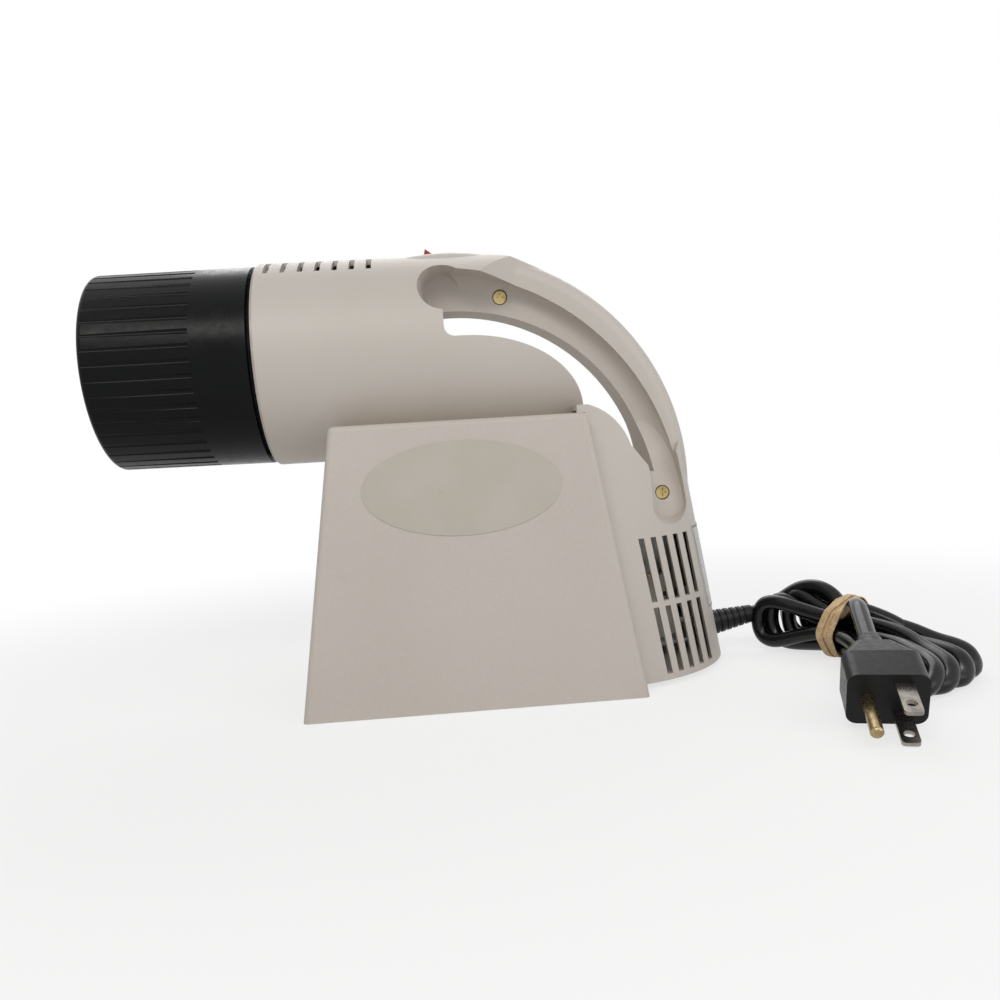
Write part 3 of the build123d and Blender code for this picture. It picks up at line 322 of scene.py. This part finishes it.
border(coats["label"], "rating_plate", (30, 30, 31), 0.9)
coats["felt"] = felt()
coats["copy_glass"] = glass("window_glass", (236, 246, 242), 0.01)
coats["lens_glass"] = glass("lens_glass", (240, 244, 250), 0.01, 0.02)
coats["bulb_glass"] = bulb()
coats["mirror"] = mirror_coat()
coats["band_tan"] = elastic()


def dress(piece, slot):
    piece.data.materials.clear()
    piece.data.materials.append(coats[slot].material)


for part in frame["record"]["subparts"]:
    node = nodes[part["node"]]
    if not node.data.materials:
        node.data.materials.append(None)
    for place in range(len(node.data.materials)):
        node.data.materials[place] = coats[part["material_slot"]].material

# ---------------------------------------------------------------- cord

CORD_D = 7.2
EXIT = (145.0, 0, 17.9)         # where the cord leaves the boot
REST_Z = CORD_D / 2 + 0.8       # a run's height on the table
BAND_XY, BAND_HEADING, BAND_Z = (179.25, -34.5), -63.4, 14.9
BAND_HOLD = 5           # the runs are straight this far either side of the band's middle
DROP = 0.7              # how blunt a loop's end is: 1 is pointed
FAN_STEPS, NOSE_STEPS = 13, 12
# where the eleven runs pass the band: out to the plug's end, and back, as (across, height)
OUT = [(2.2, 9.6), (6.9, 4.4), (3.4, -1.4), (0.0, 4.6), (-3.4, -1.4), (-6.8, 5.0)]
BACK = [(10.2, -1.4), (6.6, -7.6), (0.0, -7.6), (-6.6, -7.6), (-10.2, -1.4)]
# the loops at the plug's end: heading, reach from the band, half width, height over the loop before
FAN = [(-57, 50, 8.5, 7.5), (-66, 59, 8.5, 11.6), (-75, 65, 9.5, 11.6), (-83, 70, 11, 11.6),
       (-91, 75, 14, 11.8)]
# the loops at the boot's end: reach, place across, height of the fold's middle, half its height
NOSE = [(36, 13.5, 16.5, 10.5), (42, 6.5, 17.5, 11.0), (34, -1.5, 17.0, 10.8), (39, -8.5, 16.0, 10.4),
        (42, -14.5, 15.0, 9.8)]


def bundle(t, u, z, heading=BAND_HEADING):
    """A point t along a heading from the band and u to its left, in mm."""
    a = radians(heading)
    return (BAND_XY[0] + t * cos(a) - u * sin(a), BAND_XY[1] + t * sin(a) + u * cos(a), z)


def ease(share):
    """0 to 1 with a soft start and end, clamped."""
    share = min(1, max(0, share))
    return share * share * (3 - 2 * share)


def fan_loop(start, end, heading, reach, half, over):
    """A drop-shaped loop: out over the loop before, round on the table, and back under the band."""
    points = []
    for k in range(FAN_STEPS + 1):
        s = k / FAN_STEPS
        out = sin(pi * s) ** DROP if 0 < k < FAN_STEPS else 0
        u = lerp(start[0], end[0], s) + half * sin(2 * pi * s)
        turn = (heading - BAND_HEADING) * ease(out * 1.3)
        x, y, _ = bundle(lerp(BAND_HOLD, reach, out), u, 0, BAND_HEADING + turn)
        if s < 0.5:
            z = lerp(lerp(BAND_Z + start[1], over, ease(s * 5)), REST_Z, ease((s - 0.24) * 4.5))
        else:
            z = lerp(REST_Z, BAND_Z + end[1], ease((s - 0.72) * 3.6))
        points.append((x, y, z))
    return points


def nose_loop(start, end, reach, across, fold_z, half):
    """A drop-shaped loop on edge: low along the table, up round the fold, and back over the top."""
    points = []
    for k in range(NOSE_STEPS + 1):
        s = k / NOSE_STEPS
        out = sin(pi * s) ** DROP if 0 < k < NOSE_STEPS else 0
        u = lerp(lerp(start[0], end[0], s), across, ease(out))
        middle = lerp(BAND_Z + lerp(start[1], end[1], s), fold_z, ease(out))
        z = max(REST_Z, middle - half * sin(2 * pi * s))
        points.append(bundle(-lerp(BAND_HOLD, reach, out), u, z))
    return points


def cord_route():
    """The lead over the first loops to the band, five turns of the hank, and the tail to the plug."""
    route = [EXIT, (149.5, 0, 18.6), (155.0, -0.8, 20.8), (161.0, -3.6, 25.5), (167.0, -8.5, 31.0),
             (172.5, -15.0, 32.5), (177.0, -23.0, 30.0)]
    route.append(bundle(-BAND_HOLD, OUT[0][0], BAND_Z + OUT[0][1]))
    for k in range(len(BACK)):
        route += fan_loop(OUT[k], BACK[k], *FAN[k])
        route += nose_loop(BACK[k], OUT[k + 1], *NOSE[k])
    route.append(bundle(BAND_HOLD, OUT[-1][0], BAND_Z + OUT[-1][1]))
    route += [(174, -48, 24), (170.0, -60.0, 29.5), (165.9, -72.9, 33.8), (161.5, -86.5, 29.5),
              (156.7, -101.7, 24.6)]
    return route


def spline(name, points, thick):
    """A round cord along the points."""
    data = bpy.data.curves.new(name, "CURVE")
    data.dimensions = "3D"
    data.bevel_depth = thick / 2 * MM
    data.bevel_resolution = 5
    data.resolution_u = 5
    data.use_fill_caps = True
    line = data.splines.new("NURBS")
    line.points.add(len(points) - 1)
    for place, point in zip(line.points, points):
        place.co = (*at(*point), 1)
    line.order_u = 3
    line.use_endpoint_u = True
    piece = bpy.data.objects.new(name, data)
    bpy.context.collection.objects.link(piece)
    return piece


cord = spline("mains_cord", cord_route(), CORD_D)
dress(cord, "cord_black")
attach(cord, "projector")
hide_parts("cord_lead", "cord_hank", "cord_tail")

# ---------------------------------------------------------------- rubber band


def mesh_piece(name, build, slot, body="projector"):
    """A piece from a function that fills a bmesh in mm of the design."""
    bm = bmesh.new()
    build(bm)
    for v in bm.verts:
        v.co = at(*v.co)
    bmesh.ops.recalc_face_normals(bm, faces=bm.faces)
    data = bpy.data.meshes.new(name)
    bm.to_mesh(data)
    bm.free()
    for face in data.polygons:
        face.use_smooth = True
    piece = bpy.data.objects.new(name, data)
    bpy.context.collection.objects.link(piece)
    dress(piece, slot)
    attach(piece, body)
    return piece


BAND_SIDES = 120
# each turn of the band: its middle along the cord, slant, where it slants from, lift, half width
TURNS = [(-2.6, 1.6, 0.3, 0.1, 1.9), (1.2, -2.2, 1.7, 0.75, 1.8), (2.9, 1.5, 3.4, 1.3, 1.7),
         (-0.6, 2.4, 4.6, 1.75, 1.8)]
BAND_ROUND, BAND_THICK = 0.25, 0.8


def waist():
    """The taut line round the eleven runs, as (across, height), from their outer circles."""
    dots = []
    for u, z in OUT + BACK:
        for k in range(36):
            a = radians(10 * k)
            dots.append((u + CORD_D / 2 * cos(a), z + CORD_D / 2 * sin(a)))
    dots.sort()
    hull = []
    for side in (dots, dots[::-1]):
        chain = []
        for p in side:
            while len(chain) > 1 and ((chain[-1][0] - chain[-2][0]) * (p[1] - chain[-2][1])
                                      - (chain[-1][1] - chain[-2][1]) * (p[0] - chain[-2][0])) <= 0:
                chain.pop()
            chain.append(p)
        hull += chain[:-1]
    lengths = []
    for k in range(len(hull)):
        du, dz = hull[k][0] - hull[k - 1][0], hull[k][1] - hull[k - 1][1]
        lengths.append((du * du + dz * dz) ** 0.5)
    total, even = sum(lengths), []
    walk, k = 0.0, 0
    for n in range(BAND_SIDES):
        goal = total * n / BAND_SIDES
        while walk + lengths[(k + 1) % len(hull)] < goal:
            k += 1
            walk += lengths[k % len(hull)]
        part = (goal - walk) / max(lengths[(k + 1) % len(hull)], 1e-6)
        a, b = hull[k % len(hull)], hull[(k + 1) % len(hull)]
        even.append((lerp(a[0], b[0], part), lerp(a[1], b[1], part)))
    return even


def wraps(bm):
    """Four turns of a flat elastic band, each slanting its own way over the one below."""
    line = waist()
    count = len(line)
    for shift, slant, phase, lift, half in TURNS:
        edge = half - BAND_ROUND
        profile = ((-half, 0.15), (-edge, 0), (edge, 0), (half, 0.15), (half, 0.55), (half - 0.3, 0.72),
                   (0, BAND_THICK), (-half + 0.3, 0.72), (-half, 0.55))
        rings = []
        for k, (u, z) in enumerate(line):
            before, after = line[k - 3], line[(k + 3) % count]
            du, dz = after[0] - before[0], after[1] - before[1]
            size = (du * du + dz * dz) ** 0.5
            nu, nz = dz / size, -du / size
            t = shift + slant * sin(2 * pi * k / count + phase)
            ring = []
            for along, out in profile:
                o = lift + out
                x, y, _ = bundle(t + along, u + nu * o, 0)
                ring.append(bm.verts.new((x, y, BAND_Z + z + nz * o)))
            rings.append(ring)
        for k in range(count):
            one, two = rings[k], rings[(k + 1) % count]
            for n in range(len(one)):
                m = (n + 1) % len(one)
                bm.faces.new((one[n], one[m], two[m], two[n]))


band = mesh_piece("rubber_band", wraps, "band_tan")
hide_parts("cord_band")

# ---------------------------------------------------------------- stage and light


FLOOR_DROP = 0.0002     # metres below the table plane, so that nothing is cut by the floor
FLOOR_SHADE = 0.86
# the floor glows for the camera: the share of glow near the object and away from it, and these distances
GLOW_NEAR, GLOW_FAR, GLOW_FROM, GLOW_TO = 0.7, 1.0, 0.2, 0.55
AIM = (0, 0, 90)
WORLD_LEVEL = 0.36      # on the object; the camera sees 1


def background_ray(tree):
    """1 for camera, mirror and glass rays, 0 for the light that falls on the object."""
    path = tree.nodes.new("ShaderNodeLightPath")
    value = path.outputs["Is Camera Ray"]
    for other in ("Is Glossy Ray", "Is Transmission Ray"):
        node = tree.nodes.new("ShaderNodeMath")
        node.operation = "MAXIMUM"
        tree.links.new(value, node.inputs[0])
        tree.links.new(path.outputs[other], node.inputs[1])
        value = node.outputs[0]
    return value


def floor_material():
    """A pale floor that keeps the shadow near the object and fades to white away from it."""
    material = bpy.data.materials.new("pale_floor")
    material.use_nodes = True
    tree = material.node_tree
    tree.nodes.clear()
    add, link = tree.nodes.new, tree.links.new
    out, mix = add("ShaderNodeOutputMaterial"), add("ShaderNodeMixShader")
    diffuse, glow = add("ShaderNodeBsdfDiffuse"), add("ShaderNodeEmission")
    diffuse.inputs["Color"].default_value = (FLOOR_SHADE, FLOOR_SHADE, FLOOR_SHADE, 1)
    glow.inputs["Color"].default_value = (1, 1, 1, 1)
    link(diffuse.outputs[0], mix.inputs[1])
    link(glow.outputs[0], mix.inputs[2])
    place, away = add("ShaderNodeTexCoord"), add("ShaderNodeVectorMath")
    away.operation = "DISTANCE"
    away.inputs[1].default_value = at(30, 0, 0)
    reach = add("ShaderNodeMapRange")
    reach.interpolation_type = "SMOOTHSTEP"
    levels = {"From Min": GLOW_FROM, "From Max": GLOW_TO, "To Min": GLOW_NEAR, "To Max": GLOW_FAR}
    for key, value in levels.items():
        reach.inputs[key].default_value = value
    link(place.outputs["Object"], away.inputs[0])
    link(away.outputs["Value"], reach.inputs["Value"])
    share = add("ShaderNodeMath")
    share.operation = "MULTIPLY"
    link(reach.outputs[0], share.inputs[0])
    link(background_ray(tree), share.inputs[1])
    link(share.outputs[0], mix.inputs[0])
    link(mix.outputs[0], out.inputs["Surface"])
    return material


def stage():
    bm = bmesh.new()
    for x, y in ((-6, -6), (6, -6), (6, 9), (-6, 9)):
        bm.verts.new((x, y, -FLOOR_DROP))
    bm.faces.new(bm.verts)
    data = bpy.data.meshes.new("floor")
    bm.to_mesh(data)
    bm.free()
    floor = bpy.data.objects.new("floor", data)
    bpy.context.collection.objects.link(floor)
    data.materials.append(floor_material())


def world():
    sky = bpy.context.scene.world or bpy.data.worlds.new("world")
    bpy.context.scene.world = sky
    sky.use_nodes = True
    tree = sky.node_tree
    tree.nodes.clear()
    out, shade = tree.nodes.new("ShaderNodeOutputWorld"), tree.nodes.new("ShaderNodeBackground")
    shade.inputs["Color"].default_value = (1, 1, 1, 1)
    level = tree.nodes.new("ShaderNodeMapRange")
    level.inputs["To Min"].default_value = WORLD_LEVEL
    level.inputs["To Max"].default_value = 1.0
    tree.links.new(background_ray(tree), level.inputs["Value"])
    tree.links.new(level.outputs[0], shade.inputs["Strength"])
    tree.links.new(shade.outputs[0], out.inputs["Surface"])


def lamp(name, where, wide, high, power, tint=(1, 1, 1)):
    """A soft lamp turned to the middle of the object; its place in mm, its size in metres."""
    data = bpy.data.lights.new(name, "AREA")
    data.shape = "RECTANGLE"
    data.size, data.size_y = wide, high
    data.energy = power
    data.color = tint
    light = bpy.data.objects.new(name, data)
    here = at(*where)
    turn = (here - at(*AIM)).to_track_quat("Z", "Y").to_matrix().to_4x4()
    light.matrix_world = Matrix.Translation(here) @ turn
    bpy.context.collection.objects.link(light)


stage()
world()
lamp("key", (-250, -900, 900), 0.9, 0.3, 4.6, (1.0, 0.975, 0.94))
lamp("fill", (700, -700, 600), 0.8, 0.8, 2.6)
lamp("back", (100, 900, 900), 1.0, 0.6, 4.0)

bpy.context.scene.view_settings.view_transform = "Standard"
